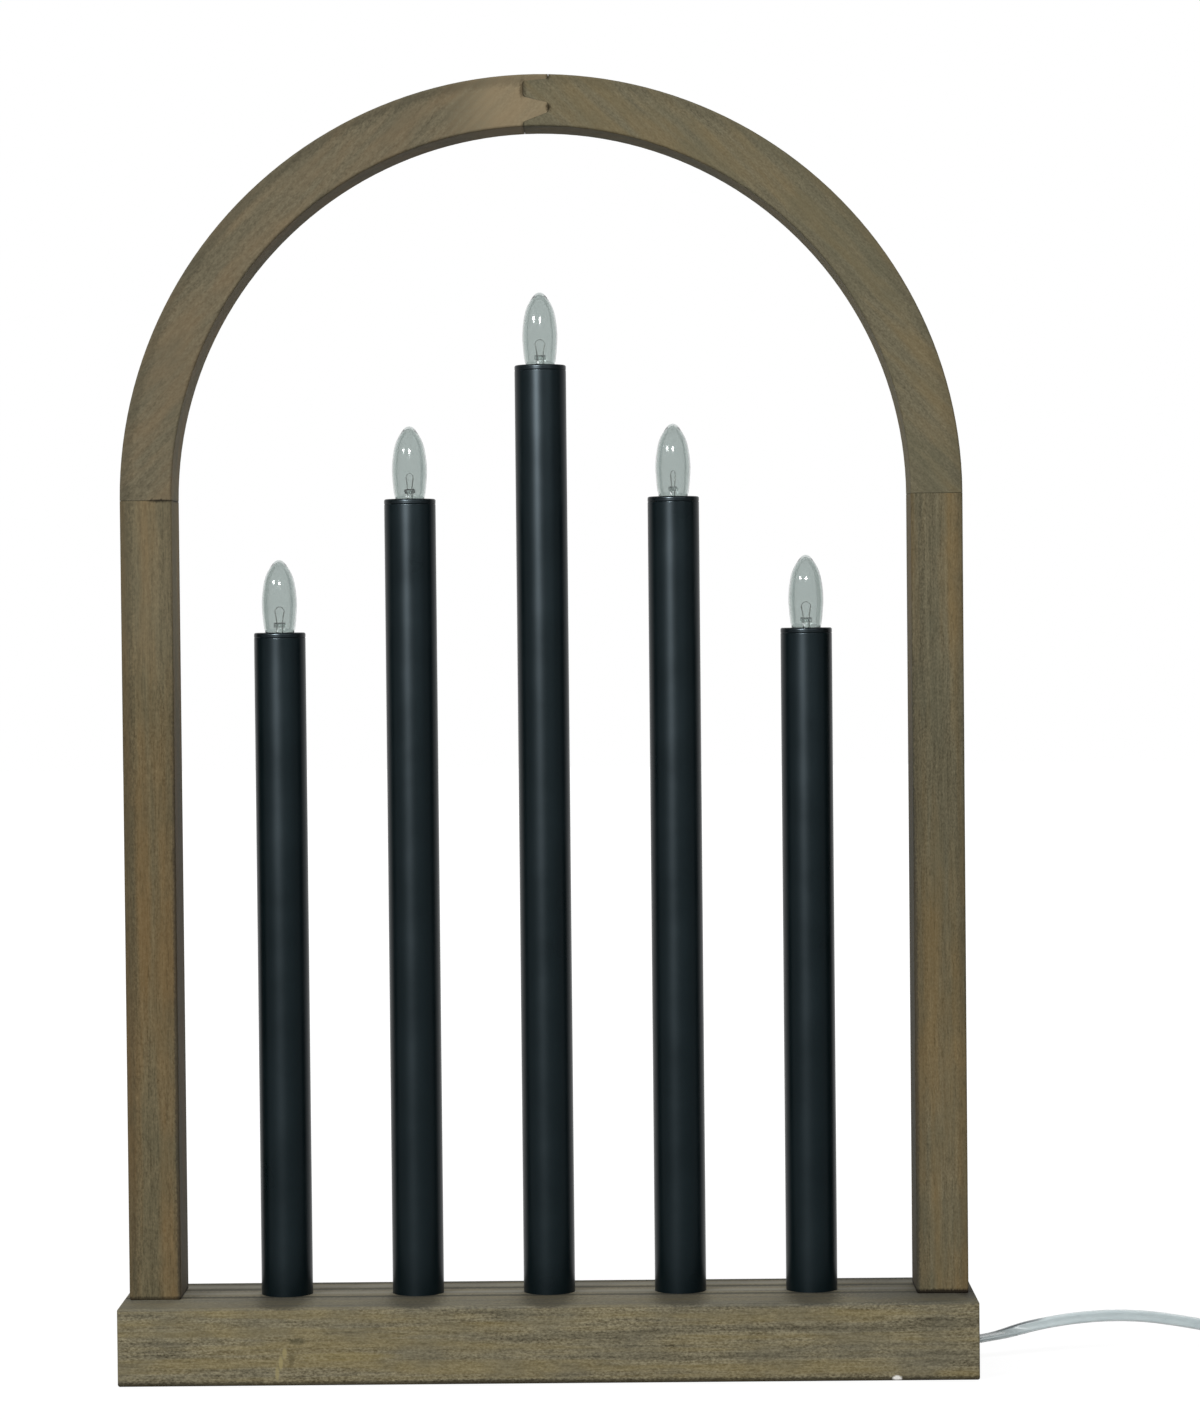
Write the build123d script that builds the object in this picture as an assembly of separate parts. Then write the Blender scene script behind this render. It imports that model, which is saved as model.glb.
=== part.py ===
# Candle arch: a wooden arch on a block, with five electric candles on stepped tubes.
# Millimetres. +Z is up, +X is to the right and -Y is to the front.
# The origin is the middle of the block's underside.
import math
import os

from build123d import *

os.makedirs("parts", exist_ok=True)

# Block that everything stands on
base_overhang = 2.5  # at each end, past the legs
base_depth = 60.0
base_height = 30.0
base_edge_round = 0.9
line_setback = 4.5  # legs and candles stand on one line, this far behind the middle

# Legs and arch, cut from bars of one section
bar_width = 20.0
bar_depth = 28.0
bar_edge_round = 1.0
leg_length = 309.4
leg_foot_round = 0.6
arch_outer_radius = 162.5
glue_gap = 0.15

# Finger joint at the crown: heights are taken down from the top of the arch
finger_right_reach = 4.3
finger_left_reach = 5.4
finger_heights = (1.9, 2.7, 8.7, 11.0, 14.7, 18.4)
finger_round = 1.2
finger_tip_gap = 0.2
crown_overrun = 6.0

# Dowels, two at each end of each leg
dowel_radius = 3.0
dowel_spacing = 14.0
foot_dowel_half = 12.0
arch_dowel_half = 18.0
dowel_play = 0.06
dowel_end_room = 0.6

# Candles
candle_count = 5
candle_pitch = 51.2
candle_low_height = 258.0  # top of the outer candles above the block
candle_step = 51.4
tube_radius = 10.0
tube_wall = 1.1
tube_edge_round = 0.3
tube_seat_depth = 10.0
tube_play = 0.1
wire_hole_radius = 7.0

# Wiring channel under the block, closed by a let-in plate
channel_width = 24.0
channel_roof = 17.0
channel_past_candle = 9.6
bay_end_wall = 23.0  # wood between the block's right end and the bay for the cord clamp
bay_width = 22.0
cover_lap = 7.0
cover_thickness = 3.0
cover_recess = 0.2
cover_play = 0.3
cover_screw_inset = 12.0
cover_screw_line = 15.5

# Wood screws, as radius of head, radius of shank, length
cover_screw = (2.5, 1.25, 12.0)
clamp_screw = (2.2, 1.2, 13.0)
screw_slot_width = 0.7
screw_slot_depth = 0.7
screw_play = 0.06

# Lamp holder, with heights from the top of its collar
collar_height = 2.0
collar_round = 0.7
sleeve_gap = 0.15
mouth_radius = 6.1
mouth_depth = 5.0
shell_radius = 5.6
shell_play = 0.1
shell_top = -5.6
shell_bottom = -13.8
chamber_radius = 5.2
holder_floor_top = -17.0
holder_floor_bottom = -19.5
holder_bottom = -26.0
skirt_radius = 7.4

# Contacts in the holder
lug_thickness = 0.5
lug_width = 3.0
lug_play = 0.15
lug_bottom = -23.0
shell_lug_x = 5.3
tongue_lug_x = -3.6
tongue_top = -16.15
tongue_reach = 1.8

# Screw thread of the bulb, a circle that circles the axis once a pitch
thread_pitch = 1.814
thread_round_radius = 4.475
thread_offset = 0.27
thread_play = 0.15
thread_sections_per_turn = 8
thread_top = -5.4
thread_bottom = -13.0
thread_overrun = 0.9

# Bulb, with heights from the top of the holder's collar
cap_skirt_radius = 4.75
cap_skirt_top = -3.6
cap_bore_radius = 3.7
cap_floor = 0.6
cap_eye_radius = 2.6
tip_profile = (
    (0, -11.6), (3.3, -11.6), (3.3, -12.25), (2.5, -12.25), (2.5, -13.15),
    (3.3, -13.15), (2.0, -14.8), (1.5, -14.9), (1.2, -15.7), (0, -16.0),
)
neck_radius = 3.55
neck_bottom = -7.0
neck_top = -3.4
glass_outer = ((5.58, 0.0), (6.5, 5.6), (6.83, 11.2), (6.36, 17.0), (4.98, 22.6), (3.43, 25.4))
glass_tip_outer = ((1.97, 27.35), (1.21, 27.95), (0.6, 28.18), (0.0, 28.25))
glass_tip_inner = ((1.4, 27.0), (0.5, 27.48), (0.0, 27.55))
glass_wall = 0.45
glass_floor = 0.8
lead_radius = 0.2
lead_hole_radius = 0.26
lead_spacing = 2.4
lead_bottom = -9.0
lead_bend_height = 4.6
lead_spread = 3.8
lead_top = 8.4
lead_bend_radius = 3.0
bead_radius = 0.95
bead_length = 4.2
bead_height = 3.0
filament_radius = 0.12
filament_rise = 1.6
mount_turns = (25.0, -40.0, 8.0, 60.0, -18.0)  # how each bulb's mount happens to stand

# Single wires between the holders
wire_radius = 0.9
wire_end_gap = 0.3
wire_level = 8.0
wire_bend = 5.0
far_core_lane = 9.0
far_core_side_run = 8.0

# Flat twin cord, standing on edge
cord_width = 4.6
cord_thickness = 2.3
cord_edge_bevel = 0.7
cord_exit_height = 8.5
cord_hole_radius = 3.3
cord_inner_length = 47.0
core_spacing = 2.3
core_first_run = 6.0
bend_share = 0.45
# Route of the free stretch from the hole's mouth, as steps to the right, back and up
cord_steps = (
    (-47.0, 0.0, 0.0), (-22.0, 0.0, 0.0), (3.0, 0.0, 0.4),
    (29.0, 1.0, 7.9), (61.0, 6.5, 9.7), (93.0, 15.5, 3.4),
)
cord_landing_run = 17.4

# Clamp that holds the cord in the bay
clamp_length = 8.0
clamp_width = 16.0
clamp_bottom = 3.7
clamp_place = 14.0
clamp_screw_line = 5.2
clamp_slot_play = 0.1
bay_roof_gap = 0.3
clamp_roof_gap = 0.1

# Put-away coil, wound inwards on the floor and out again on top
coil_ahead = 147.0
coil_middle_y = -3.0
coil_outer_radius = 32.5
coil_turns_a_layer = 5
coil_radial_step = 2.85
coil_layer_step = 5.1
coil_lift = 0.8
tail_bend_radius = 18.5
tail_climb_share = 0.68
climb_points = 24
least_gap_allowed = 0.4

# Tie around the coil
tie_thickness = 0.5
tie_width = 3.0
tie_gap = 0.3
tie_angle = -68.0
tie_twist_length = 9.0
tie_twist_radius = 1.0

# Two-pin plug that lies on the coil
plug_relief_length = 8.0
plug_relief_radius = 4.0
plug_body_length = 36.0
plug_taper_length = 20.0
plug_neck_half = 6.0
plug_half_width = 17.65
plug_height = 13.7
plug_corner_round = 3.0
plug_edge_round = 2.0
plug_rest_gap = 0.3
pin_radius = 2.0
pin_length = 19.0
pin_root_radius = 1.5  # thinner end that is moulded in
pin_root = 6.0
pin_spacing = 19.0
pin_tip_round = 1.2
pin_play = 0.04

# Derived places
cross_half = bar_width / 2
leg_x = arch_outer_radius - cross_half
base_length = 2 * (arch_outer_radius + base_overhang)
joint_z = base_height + leg_length
crown_z = joint_z + arch_outer_radius
middle = (candle_count - 1) / 2
candle_x = [(i - middle) * candle_pitch for i in range(candle_count)]
steps_up = [middle - abs(i - middle) for i in range(candle_count)]
candle_top = [base_height + candle_low_height + candle_step * steps for steps in steps_up]
tube_bore = tube_radius - tube_wall
channel_right = candle_x[-1] + channel_past_candle
bay_right = base_length / 2 - bay_end_wall
bay_roof = cord_exit_height + cord_width / 2 + bay_roof_gap
cover_ledge = cover_recess + cover_thickness
cover_half = bay_right + cover_lap
cover_half_width = channel_width / 2 + cover_lap
clamp_x = bay_right - clamp_place
dowel_lines = (line_setback - dowel_spacing / 2, line_setback + dowel_spacing / 2)
cover_screw_x = (-(cover_half - cover_screw_inset), 0.0, cover_half - cover_screw_inset)
cover_screw_y = (line_setback - cover_screw_line, line_setback + cover_screw_line)
clamp_screw_y = (line_setback - clamp_screw_line, line_setback + clamp_screw_line)
mouth = (base_length / 2, line_setback, cord_exit_height)
cord_section = chamfer(Rectangle(cord_thickness, cord_width).vertices(), cord_edge_bevel)


def post(radius, height, x, y, z):
    """Upright cylinder that stands at x, y, z."""
    return Pos(x, y, z) * Cylinder(radius, height, align=(Align.CENTER, Align.CENTER, Align.MIN))


def slab(x_range, y_range, z_range):
    """Box between two values on each axis."""
    sizes = [b - a for a, b in (x_range, y_range, z_range)]
    return Pos(*[(a + b) / 2 for a, b in (x_range, y_range, z_range)]) * Box(*sizes)


def around(value, width):
    """The two ends of a width around a value."""
    return (value - width / 2, value + width / 2)


def spun(profile):
    """Solid of revolution about Z from points (radius, height)."""
    outline = Polyline(*[(r, 0, z) for r, z in profile], close=True)
    return revolve(make_face(outline), Axis.Z)


def wood_screw(sizes, x, y, z):
    """Slotted countersunk screw that points up, with its head at z."""
    head, shank, length = sizes
    body = spun(((0, 0), (head, 0), (shank, head - shank), (shank, length - shank), (0, length)))
    slot = slab(around(0, 2 * head), around(0, screw_slot_width), (0, screw_slot_depth))
    return Pos(x, y, z) * (body - slot)


def screw_seat(sizes, x, y, z):
    """Space that the same screw takes up, with a little play."""
    head, shank, length = (s + screw_play for s in sizes)
    return Pos(x, y, z) * spun(((0, 0), (head, 0), (shank, head - shank), (shank, length), (0, length)))


def cord_radii(points):
    """Bend radius at each inner point, so that bends take most of the shorter run."""
    radii = []
    for a, b, c in zip(points, points[1:], points[2:]):
        run_in = Vector(b) - Vector(a)
        run_out = Vector(c) - Vector(b)
        half_turn = math.radians(run_in.get_angle(run_out)) / 2
        radii.append(bend_share * min(run_in.length, run_out.length) / math.tan(half_turn))
    return radii


def round_wire(points, radius, bend):
    """Round wire along points, with one bend radius."""
    path = FilletPolyline(*points, radius=bend)
    start = Plane(origin=path @ 0, z_dir=path % 0)
    return sweep(start * Circle(radius), path=path)


def flat_cord(path):
    """Flat cord on edge along a path; its wide side stays upright."""
    start = Plane(origin=path @ 0, x_dir=Vector(path % 0).cross(Vector(0, 0, 1)), z_dir=path % 0)
    return sweep(start * cord_section, path=path, binormal=path.moved(Pos(0, 0, cord_width)))


def thread_form(radius, bottom, top):
    """Solid under a round screw thread: one circle, wound about the axis."""
    steps = math.ceil((top - bottom) / thread_pitch * thread_sections_per_turn)
    rings = []
    for i in range(steps + 1):
        z = bottom + (top - bottom) * i / steps
        turn = math.tau * z / thread_pitch
        rings.append(Pos(thread_offset * math.cos(turn), thread_offset * math.sin(turn), z) * Circle(radius))
    return loft(rings)


def save(name, *solids):
    """Writes a piece, or a group of separate solids, under its name."""
    shape = solids[0] if len(solids) == 1 else Compound(children=list(solids))
    export_step(shape, f"parts/{name}.step")


# Block, with tube seats, dowel holes, wiring channel, clamp bay and cord hole
whole = slab(around(0, base_length), around(0, base_depth), (0, base_height))
block = fillet(whole.edges(), base_edge_round)
line = line_setback
block -= slab((-bay_right, channel_right), around(line, channel_width), (0, channel_roof))
block -= slab((0, bay_right), around(line, bay_width), (0, bay_roof))
block -= slab((-cover_half, cover_half), around(line, 2 * cover_half_width), (0, cover_ledge))
for x in candle_x:
    block -= post(tube_radius + tube_play, tube_seat_depth, x, line, base_height - tube_seat_depth)
    block -= post(wire_hole_radius, base_height, x, line, cover_ledge)
foot_hole_z = base_height - foot_dowel_half - dowel_end_room
for x in (-leg_x, leg_x):
    for y in dowel_lines:
        block -= post(dowel_radius + dowel_play, base_height, x, y, foot_hole_z)
hole_length = base_length / 2 - bay_right
hole_middle = (base_length / 2 + bay_right) / 2
cord_hole = Rot(0, 90, 0) * Cylinder(cord_hole_radius, 2 * hole_length)
block -= Pos(hole_middle, line, cord_exit_height) * cord_hole
for x in cover_screw_x:
    for y in cover_screw_y:
        block -= screw_seat(cover_screw, x, y, cover_recess)
for y in clamp_screw_y:
    block -= screw_seat(clamp_screw, clamp_x, y, clamp_bottom)
save("base_block", block)

# Cover plate and its screws
plate_x = (-cover_half + cover_play, cover_half - cover_play)
plate_y = around(line, 2 * (cover_half_width - cover_play))
plate = slab(plate_x, plate_y, (cover_recess, cover_ledge))
screws = []
for x in cover_screw_x:
    for y in cover_screw_y:
        plate -= screw_seat(cover_screw, x, y, cover_recess)
        screws.append(wood_screw(cover_screw, x, y, cover_recess))
save("base_cover", plate)
save("cover_screws", *screws)

# Legs
for name, x in (("leg_left", -leg_x), ("leg_right", leg_x)):
    leg = slab(around(x, bar_width), around(line, bar_depth), (base_height, joint_z))
    leg = fillet(leg.edges().filter_by(Axis.Z), bar_edge_round)
    leg = fillet(leg.faces().sort_by(Axis.Z)[0].edges(), leg_foot_round)
    for y in dowel_lines:
        leg -= post(dowel_radius + dowel_play, foot_dowel_half + dowel_end_room, x, y, base_height)
        top_hole = arch_dowel_half + dowel_end_room
        leg -= post(dowel_radius + dowel_play, top_hole, x, y, joint_z - top_hole)
    save(name, leg)

# Arch halves: one half ring, parted at the crown along the finger joint
ring = Cylinder(arch_outer_radius, bar_depth) - Cylinder(arch_outer_radius - bar_width, bar_depth)
ring = fillet(ring.edges().filter_by(GeomType.CIRCLE), bar_edge_round)
ring = Pos(0, line, joint_z) * Rot(90, 0, 0) * ring
room = arch_outer_radius + crown_overrun
ring &= slab((-room, room), around(line, 2 * bar_depth), (joint_z + glue_gap, joint_z + room))
for x in (-leg_x, leg_x):
    for y in dowel_lines:
        ring -= post(dowel_radius + dowel_play, arch_dowel_half + dowel_end_room, x, y, joint_z)
reaches = (finger_right_reach, -finger_left_reach, -finger_left_reach, finger_right_reach) * 2
parting = [(finger_right_reach, crown_z + crown_overrun)]
parting += [(x, crown_z - h) for x, h in zip(reaches, finger_heights)]
parting.append((-finger_left_reach, joint_z))
joint_line = FilletPolyline(*parting, radius=finger_round)
rest_line = Polyline(parting[-1], (-room, joint_z), (-room, crown_z + crown_overrun), parting[0])
left_face = Plane.XZ * make_face(Curve() + [joint_line, rest_line])
left_side = extrude(left_face, bar_depth + bar_depth, both=True)
save("arch_left", ring & left_side)
save("arch_right", ring - Pos(finger_tip_gap, 0, 0) * left_side)

# Dowels
foot_pins = []
arch_pins = []
for x in (-leg_x, leg_x):
    for y in dowel_lines:
        foot_pins.append(post(dowel_radius, 2 * foot_dowel_half, x, y, base_height - foot_dowel_half))
        arch_pins.append(post(dowel_radius, 2 * arch_dowel_half, x, y, joint_z - arch_dowel_half))
save("leg_dowels", *foot_pins)
save("arch_dowels", *arch_pins)

# Lamp holder, about the candle's axis, with its collar's top at zero
collar = post(tube_radius, collar_height, 0, 0, -collar_height)
collar = fillet(collar.edges().sort_by(Axis.Z)[-1:], collar_round)
collar = fillet(collar.edges().sort_by(Axis.Z)[:1], tube_edge_round)
holder = collar + post(tube_bore - sleeve_gap, -holder_bottom - collar_height, 0, 0, holder_bottom)
holder -= post(mouth_radius, mouth_depth, 0, 0, -mouth_depth)
holder -= post(shell_radius + shell_play, -shell_bottom - mouth_depth, 0, 0, shell_bottom)
holder -= post(chamber_radius, shell_bottom - holder_floor_top, 0, 0, holder_floor_top)
holder -= post(skirt_radius, holder_floor_bottom - holder_bottom, 0, 0, holder_bottom)
slot_size = lug_thickness + 2 * lug_play
slot_y = around(0, lug_width + 2 * lug_play)
holder -= slab(around(shell_lug_x, slot_size), slot_y, (holder_floor_bottom, shell_bottom))
holder -= slab(around(tongue_lug_x, slot_size), slot_y, (holder_floor_bottom, holder_floor_top))

# Threaded shell with its lug, and the tongue under the bulb's tip
shell = post(shell_radius, shell_top - shell_bottom, 0, 0, shell_bottom)
thread_ends = (shell_bottom - thread_overrun, shell_top + thread_overrun)
shell -= thread_form(thread_round_radius + thread_play, *thread_ends)
shell_lug_z = (lug_bottom, shell_bottom + lug_thickness)
shell += slab(around(shell_lug_x, lug_thickness), around(0, lug_width), shell_lug_z)
tongue = slab(around(tongue_lug_x, lug_thickness), around(0, lug_width), (lug_bottom, tongue_top))
tongue_x = (tongue_lug_x - lug_thickness / 2, tongue_reach)
tongue += slab(tongue_x, around(0, lug_width), (tongue_top - lug_thickness, tongue_top))

# Bulb cap, with thread, bore and the eye for the tip
cap = thread_form(thread_round_radius, thread_bottom, thread_top)
cap += post(cap_skirt_radius, cap_skirt_top - thread_top, 0, 0, thread_top)
cap -= post(cap_bore_radius, cap_skirt_top - thread_bottom, 0, 0, thread_bottom + cap_floor)
cap -= post(cap_eye_radius, cap_floor, 0, 0, thread_bottom)
tip = spun(tip_profile)

# Bulb glass, blown to a point, with a closed neck and a bead on the lead wires
inner_points = [(neck_radius - glass_wall, neck_top)]
inner_points += [(r - glass_wall, z) for r, z in glass_outer]
inner_points += glass_tip_inner
outer_points = [(neck_radius, neck_top), *glass_outer, *glass_tip_outer]


def glass_body(points, bottom):
    """Solid of revolution of a bulb's outline above a straight neck."""
    curve = Spline(*[(r, 0, z) for r, z in points])
    start, end = points[0], points[-1]
    rest = Polyline((end[0], 0, end[1]), (0, 0, bottom), (start[0], 0, bottom), (start[0], 0, start[1]))
    return revolve(make_face(Curve() + [curve, rest]), Axis.Z)


glass = glass_body(outer_points, neck_bottom) - glass_body(inner_points, neck_bottom + glass_floor)
bead = Pos(0, 0, bead_height) * Rot(0, 90, 0) * Cylinder(bead_radius, bead_length)
filament_top = (0, 0, lead_top + filament_rise)
ends = [(side * lead_spread / 2, 0, lead_top) for side in (-1, 1)]
filament_start = Plane(origin=ends[0], z_dir=(0, 0, 1))
filament_arc = ThreePointArc(ends[0], filament_top, ends[1])
wires = sweep(filament_start * Circle(filament_radius), path=filament_arc)
for side in (-1, 1):
    x = side * lead_spacing / 2
    hole = post(lead_hole_radius, lead_bend_height - neck_bottom, x, 0, neck_bottom)
    glass -= hole
    bead -= hole
    lead_points = ((x, 0, lead_bottom), (x, 0, lead_bend_height), (side * lead_spread / 2, 0, lead_top))
    wires += round_wire(lead_points, lead_radius, lead_bend_radius)

# One candle after another
seat_z = base_height - tube_seat_depth
for i in range(candle_count):
    number = i + 1
    tube_length = candle_top[i] - collar_height - seat_z
    tube = post(tube_radius, tube_length, 0, 0, 0)
    tube = fillet(tube.edges().sort_by(Axis.Z)[-1:], tube_edge_round)
    tube -= post(tube_bore, tube_length, 0, 0, 0)
    save(f"candle_tube_{number}", Pos(candle_x[i], line, seat_z) * tube)
    place = Pos(candle_x[i], line, candle_top[i])
    stand = place * Rot(0, 0, mount_turns[i])
    save(f"lamp_holder_{number}", place * holder)
    save(f"thread_shell_{number}", place * shell)
    save(f"centre_contact_{number}", place * tongue)
    save(f"bulb_cap_{number}", place * cap)
    save(f"bulb_tip_{number}", place * tip)
    save(f"bulb_glass_{number}", stand * glass, stand * bead)
    save(f"bulb_filament_{number}", stand * wires)

# Wires: each holder's shell to the next holder's tongue, and the cord's two cores
wire_end_z = [z + lug_bottom - wire_end_gap for z in candle_top]
links = []
for i in range(candle_count - 1):
    x0 = candle_x[i] + shell_lug_x
    x1 = candle_x[i + 1] + tongue_lug_x
    down = ((x0, line, wire_end_z[i]), (x0, line, wire_level))
    up = ((x1, line, wire_level), (x1, line, wire_end_z[i + 1]))
    links.append(round_wire(down + up, wire_radius, wire_bend))
save("link_wires", *links)
core_x = mouth[0] - cord_inner_length - wire_end_gap
upper = cord_exit_height + core_spacing / 2
lower = cord_exit_height - core_spacing / 2
near_x = candle_x[-1] + shell_lug_x
near = ((core_x, line, upper), (near_x, line, upper), (near_x, line, wire_end_z[-1]))
save("core_near", round_wire(near, wire_radius, wire_bend))
far_x = candle_x[0] + tongue_lug_x
lane = line - far_core_lane
turn_x = core_x - core_first_run
far = ((core_x, line, lower), (turn_x, line, lower), (turn_x - 2 * far_core_side_run, lane, wire_level),
       (far_x + far_core_side_run, lane, wire_level), (far_x, line, wire_level), (far_x, line, wire_end_z[0]))
save("core_far", round_wire(far, wire_radius, wire_bend / 2))

# Cord clamp and its screws
clamp_ends = around(clamp_x, clamp_length)
clamp = slab(clamp_ends, around(line, clamp_width), (clamp_bottom, bay_roof - clamp_roof_gap))
slot_bottom = cord_exit_height - cord_width / 2 - clamp_slot_play
slot_sides = around(line, cord_thickness + 2 * clamp_slot_play)
clamp -= slab(clamp_ends, slot_sides, (slot_bottom, bay_roof))
for y in clamp_screw_y:
    clamp -= screw_seat(clamp_screw, clamp_x, y, clamp_bottom)
save("cord_clamp", clamp)
save("clamp_screws", *[wood_screw(clamp_screw, clamp_x, y, clamp_bottom) for y in clamp_screw_y])

# Free stretch of the cord, from the clamp bay to the coil
coil_x = mouth[0] + coil_ahead
coil_y = coil_middle_y
low_z = coil_lift + cord_width / 2
high_z = low_z + coil_layer_step
landing_y = coil_y + coil_outer_radius
route = [tuple(a + b for a, b in zip(mouth, step)) for step in cord_steps]
route.append((coil_x - cord_width - cord_landing_run, landing_y, low_z))
route.append((coil_x - cord_width, landing_y, low_z))
radii = cord_radii(route)
print("cord bend radii", [round(r, 1) for r in radii])
lead_path = FilletPolyline(*route, radius=radii)
lead = flat_cord(lead_path)
save("cord_lead", lead)
lead_share = lead.volume / (cord_section.area * lead_path.length)
print("cord lead length", round(lead_path.length, 1), "volume share", round(lead_share, 4))


def half_turn(start_y, radius, side, z):
    """Half a level turn about the coil from its middle line; side +1 goes round the right."""
    end_y = start_y - 2 * side * radius
    side_point = (coil_x + side * radius, start_y - side * radius, z)
    return ThreePointArc((coil_x, start_y, z), side_point, (coil_x, end_y, z)), end_y


def climb(middle_x, middle_y, radius, start, turn, z0, z1):
    """Part of a clockwise turn that climbs softly from one level to another."""
    points = []
    for i in range(climb_points + 1):
        share = i / climb_points
        angle = math.radians(start - turn * share)
        rise = share * share * (3 - 2 * share)
        x = middle_x + radius * math.cos(angle)
        y = middle_y + radius * math.sin(angle)
        points.append((x, y, z0 + (z1 - z0) * rise))
    headings = [(math.sin(a), -math.cos(a), 0) for a in (math.radians(start), math.radians(start - turn))]
    return Spline(*points, tangents=headings)


# Coil: half turns that tighten on the floor, climb once, and widen on top
pieces = [Line((coil_x - cord_width, landing_y, low_z), (coil_x, landing_y, low_z))]
y = landing_y
half_step = coil_radial_step / 2
half_count = 2 * coil_turns_a_layer
for k in range(half_count):
    arc, y = half_turn(y, coil_outer_radius - k * half_step, 1 if k % 2 == 0 else -1, low_z)
    pieces.append(arc)
inner_radius = coil_outer_radius - half_count * half_step
pieces.append(climb(coil_x, y - inner_radius, inner_radius, 90, 180, low_z, high_z))
y -= 2 * inner_radius
for k in range(1, half_count - 1):
    arc, y = half_turn(y, inner_radius + k * half_step, 1 if k % 2 == 0 else -1, high_z)
    pieces.append(arc)

# The last turn climbs over the coil on its left and turns in to the plug
plug_z = coil_lift + coil_layer_step + cord_width + plug_rest_gap + plug_height / 2
over_z = high_z + (plug_z - high_z) * tail_climb_share
last_radius = coil_outer_radius - half_step
left_y = y + last_radius
plug_y = left_y + tail_bend_radius
turn_in_x = coil_x - last_radius + tail_bend_radius
plug_x = turn_in_x + cord_width
pieces.append(climb(coil_x, left_y, last_radius, 270, 90, high_z, over_z))
pieces.append(climb(turn_in_x, left_y, tail_bend_radius, 180, 90, over_z, plug_z))
pieces.append(Line((turn_in_x, plug_y, plug_z), (plug_x, plug_y, plug_z)))
coil_path = Wire(pieces)
coil = flat_cord(coil_path)
save("cord_coil", coil)
coil_share = coil.volume / (cord_section.area * coil_path.length)
print("coil length", round(coil_path.length, 1), "volume share", round(coil_share, 4))

# Least gap of the coil to itself, on points along it
count = int(coil_path.length)
trail = [coil_path @ (i / count) for i in range(count + 1)]
least = math.inf
for i, a in enumerate(trail):
    for b in trail[i + int(2 * inner_radius):]:
        flat = math.hypot(a.X - b.X, a.Y - b.Y) - cord_thickness
        upright = abs(a.Z - b.Z) - cord_width
        least = min(least, max(flat, upright))
print("coil least gap", round(least, 2), "over", least_gap_allowed)

# Tie: a flat band around the turns, with its twisted ends outside
band_in = (inner_radius - cord_thickness / 2 - tie_gap, coil_outer_radius + cord_thickness / 2 + tie_gap)
band_top = coil_lift + coil_layer_step + cord_width + tie_gap
band_out = (band_in[0] - tie_thickness, band_in[1] + tie_thickness)
band = slab(band_out, around(0, tie_width), (0, band_top + tie_thickness))
band -= slab(band_in, around(0, tie_width), (tie_thickness, band_top))
twist = Rot(0, 90, 0) * Cylinder(tie_twist_radius, tie_twist_length)
twist = Pos(band_out[1] + tie_twist_length / 2, 0, high_z) * twist
save("cord_tie", Pos(coil_x, coil_y, 0) * Rot(0, 0, tie_angle) * (band + twist))

# Plug and its two pins, pointing away from the block
neck_x = plug_x + plug_relief_length
wide_x = neck_x + plug_taper_length
face_x = neck_x + plug_body_length
half = [(face_x, plug_half_width), (wide_x, plug_half_width), (neck_x, plug_neck_half)]
outline = half + [(x, -w) for x, w in reversed(half)]
plug = extrude(make_face(Polyline(*outline, close=True)), plug_height)
plug = fillet(plug.edges().filter_by(Axis.Z), plug_corner_round)
flat_faces = plug.faces().sort_by(Axis.Z)
plug = fillet(flat_faces[0].edges() + flat_faces[-1].edges(), plug_edge_round)
plug = Pos(0, plug_y, plug_z - plug_height / 2) * plug
relief = Rot(0, 90, 0) * Cylinder(plug_relief_radius, plug_relief_length + plug_corner_round)
plug += Pos(plug_x + (plug_relief_length + plug_corner_round) / 2, plug_y, plug_z) * relief
pins = []
for side in (-1, 1):
    pin = post(pin_radius, pin_length - pin_play, 0, 0, pin_root + pin_play)
    pin = fillet(pin.edges().sort_by(Axis.Z)[-1:], pin_tip_round)
    pin += post(pin_root_radius, pin_root + pin_play, 0, 0, 0)
    hole = post(pin_root_radius + pin_play, pin_root + pin_play, 0, 0, 0)
    spot = Pos(face_x - pin_root, plug_y + side * pin_spacing / 2, plug_z) * Rot(0, 90, 0)
    plug -= spot * Pos(0, 0, -pin_play) * hole
    pins.append(spot * pin)
save("plug_body", plug)
save("plug_pins", *pins)
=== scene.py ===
# %% [markdown]
# # A candle arch
# A wooden arch on a block, with five electric candles. The solids come from the packed
# model, in metres, and nothing is moved. This lesson gives them their surroundings and
# finishes, and lays the cord as one smooth piece.

# %% Load the imported model
import math

import bpy
from mathutils import Matrix, Vector


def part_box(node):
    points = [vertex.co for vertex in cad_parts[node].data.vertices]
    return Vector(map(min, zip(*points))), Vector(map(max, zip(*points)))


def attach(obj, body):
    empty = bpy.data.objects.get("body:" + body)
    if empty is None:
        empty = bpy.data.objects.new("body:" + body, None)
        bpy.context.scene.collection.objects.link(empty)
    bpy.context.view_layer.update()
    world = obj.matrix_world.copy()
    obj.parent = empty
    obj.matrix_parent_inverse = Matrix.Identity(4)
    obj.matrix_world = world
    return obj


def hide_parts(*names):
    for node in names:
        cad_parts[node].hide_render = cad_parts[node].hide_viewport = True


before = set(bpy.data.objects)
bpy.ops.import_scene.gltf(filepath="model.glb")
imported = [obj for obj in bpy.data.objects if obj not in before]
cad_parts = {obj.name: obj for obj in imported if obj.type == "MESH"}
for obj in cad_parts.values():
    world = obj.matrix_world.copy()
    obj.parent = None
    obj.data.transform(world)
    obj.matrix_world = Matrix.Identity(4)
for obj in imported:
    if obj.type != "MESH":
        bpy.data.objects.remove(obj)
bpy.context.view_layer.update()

numbers = range(1, 6)
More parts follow.
